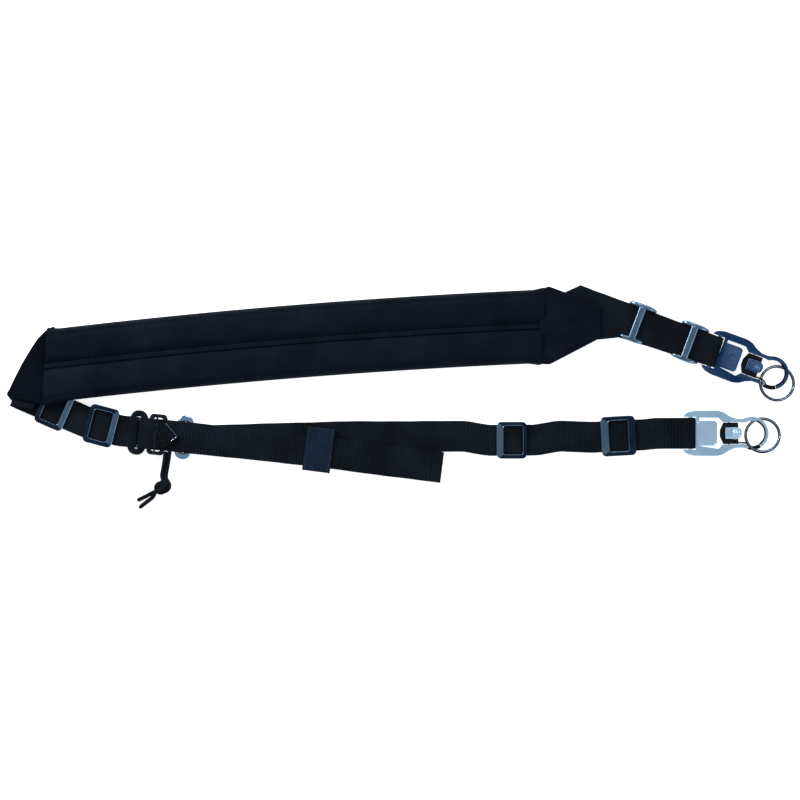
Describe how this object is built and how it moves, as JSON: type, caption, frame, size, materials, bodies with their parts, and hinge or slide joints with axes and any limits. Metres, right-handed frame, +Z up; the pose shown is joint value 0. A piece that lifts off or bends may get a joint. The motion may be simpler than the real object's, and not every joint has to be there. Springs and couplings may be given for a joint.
{
  "type": "padded carrying sling",
  "caption": "Webbing carrying sling with a long two-channel shoulder pad, sliding tri-glides, quick adjuster with pull cord, strap keeper and snap hooks with split rings.",
  "frame": {"origin": "middle of the sling's outline as it lies flat, on the surface that it lies on", "axes": "+X along the sling towards the snap hooks, +Y across towards the pad, +Z up"},
  "size_m": [0.7634, 0.2175, 0.0187],
  "materials": {
    "webbing_black": "ribbed woven polyester webbing",
    "pad_fabric": "ribbed knitted face fabric",
    "gusset_fabric": "coarse woven nylon",
    "foam": "closed-cell foam",
    "keeper_fabric": "woven elastic",
    "glide_metal": "satin blue-grey coating",
    "black_metal": "satin black coating",
    "chrome_metal": "polished",
    "hook_metal_a": "anodised satin",
    "hook_metal_b": "anodised satin",
    "black_plastic": "moulded",
    "ring_steel": "bright spring steel",
    "cord_black": "braided sheath"
  },
  "bodies": {
    "sling": {"pad_face_fabric": "pad_fabric", "pad_foam_upper": "foam", "pad_foam_lower": "foam", "pad_back_panel": "pad_fabric", "gusset_left": "gusset_fabric", "gusset_right": "gusset_fabric", "corner_strap": "webbing_black", "strap_a": "webbing_black", "strap_b": "webbing_black", "oval_link": "black_metal", "main_strap": "webbing_black"},
    "glide_a1": {"triglide_a1": "glide_metal"},
    "glide_a2": {"triglide_a2": "glide_metal"},
    "glide_b1": {"triglide_b1": "glide_metal"},
    "glide_b2": {"triglide_b2": "glide_metal"},
    "glide_c1": {"triglide_c1": "glide_metal"},
    "glide_c2": {"triglide_c2": "glide_metal"},
    "strap_keeper": {"keeper": "keeper_fabric"},
    "adjuster": {"adjuster_frame": "black_metal", "adjuster_ring": "chrome_metal", "adjuster_belt": "webbing_black", "pull_strand_1": "cord_black", "pull_strand_2": "cord_black", "pull_knot": "cord_black", "pull_end_1": "cord_black", "pull_end_2": "cord_black"},
    "release_tab": {"pull_tab": "black_plastic"},
    "hook_a": {"hook_a_frame": "hook_metal_a", "gate_a_pin": "ring_steel"},
    "gate_a": {"gate_a_lever": "black_plastic", "gate_a_spring": "ring_steel", "gate_a_thumb_tab": "hook_metal_a"},
    "ring_a": {"split_ring_a": "ring_steel"},
    "hook_b": {"hook_b_frame": "hook_metal_b", "gate_b_pin": "ring_steel"},
    "gate_b": {"gate_b_lever": "black_plastic", "gate_b_spring": "ring_steel", "gate_b_thumb_tab": "hook_metal_b"},
    "ring_b": {"split_ring_b": "ring_steel"}
  },
  "joints": [
    {"name": "glide_a1_slide", "type": "slide", "parent": "sling", "child": "glide_a1", "axis": [0.9373, -0.3486, 0], "range_m": [0, 0.008]},
    {"name": "glide_a2_slide", "type": "slide", "parent": "sling", "child": "glide_a2", "axis": [0.9373, -0.3486, 0], "range_m": [-0.012, 0]},
    {"name": "glide_b1_slide", "type": "slide", "parent": "sling", "child": "glide_b1", "axis": [0.9183, -0.3959, 0], "range_m": [-0.006, 0.006]},
    {"name": "glide_b2_slide", "type": "slide", "parent": "sling", "child": "glide_b2", "axis": [0.9679, -0.2514, 0], "range_m": [0, 0.003]},
    {"name": "glide_c1_slide", "type": "slide", "parent": "sling", "child": "glide_c1", "axis": [1, 0, 0], "range_m": [-0.006, 0.006]},
    {"name": "glide_c2_slide", "type": "slide", "parent": "sling", "child": "glide_c2", "axis": [0.9986, 0.0531, 0], "range_m": [-0.005, 0.005]},
    {"name": "keeper_slide", "type": "slide", "parent": "sling", "child": "strap_keeper", "axis": [0.9918, -0.1275, 0], "range_m": [-0.018, 0.094]},
    {"name": "adjuster_slide", "type": "slide", "parent": "sling", "child": "adjuster", "axis": [0.9946, -0.1043, 0], "range_m": [0, 0.025]},
    {"name": "tab_lift", "type": "hinge", "parent": "adjuster", "child": "release_tab", "pos_m": [-0.23691, -0.04865, 0.0099], "axis": [-0.1043, -0.9946, 0], "range_deg": [0, 80]},
    {"name": "hook_a_swing", "type": "hinge", "parent": "sling", "child": "hook_a", "pos_m": [0.30408, 0.03157, 0.00525], "axis": [-0.3486, -0.9373, 0], "range_deg": [-80, 80]},
    {"name": "gate_a_open", "type": "hinge", "parent": "hook_a", "child": "gate_a", "pos_m": [0.33876, 0.01867, 0.00525], "axis": [0.3486, 0.9373, 0], "range_deg": [0, 25], "stiffness_Nm_per_rad": 0.15, "springref_deg": -14.32},
    {"name": "ring_a_swing", "type": "hinge", "parent": "hook_a", "child": "ring_a", "pos_m": [0.36447, 0.00074, 0.00525], "axis": [-0.4163, 0.9092, 0], "range_deg": [0, 150]},
    {"name": "hook_b_swing", "type": "hinge", "parent": "sling", "child": "hook_b", "pos_m": [0.28088, -0.04763, 0.00525], "axis": [0, -1, 0], "range_deg": [-80, 80]},
    {"name": "gate_b_open", "type": "hinge", "parent": "hook_b", "child": "gate_b", "pos_m": [0.31788, -0.04763, 0.00525], "axis": [0, 1, 0], "range_deg": [0, 25], "stiffness_Nm_per_rad": 0.15, "springref_deg": -14.32},
    {"name": "ring_b_swing", "type": "hinge", "parent": "hook_b", "child": "ring_b", "pos_m": [0.3505, -0.04954, 0.00525], "axis": [-0.9826, 0.1857, 0], "range_deg": [0, 150]}
  ]
}
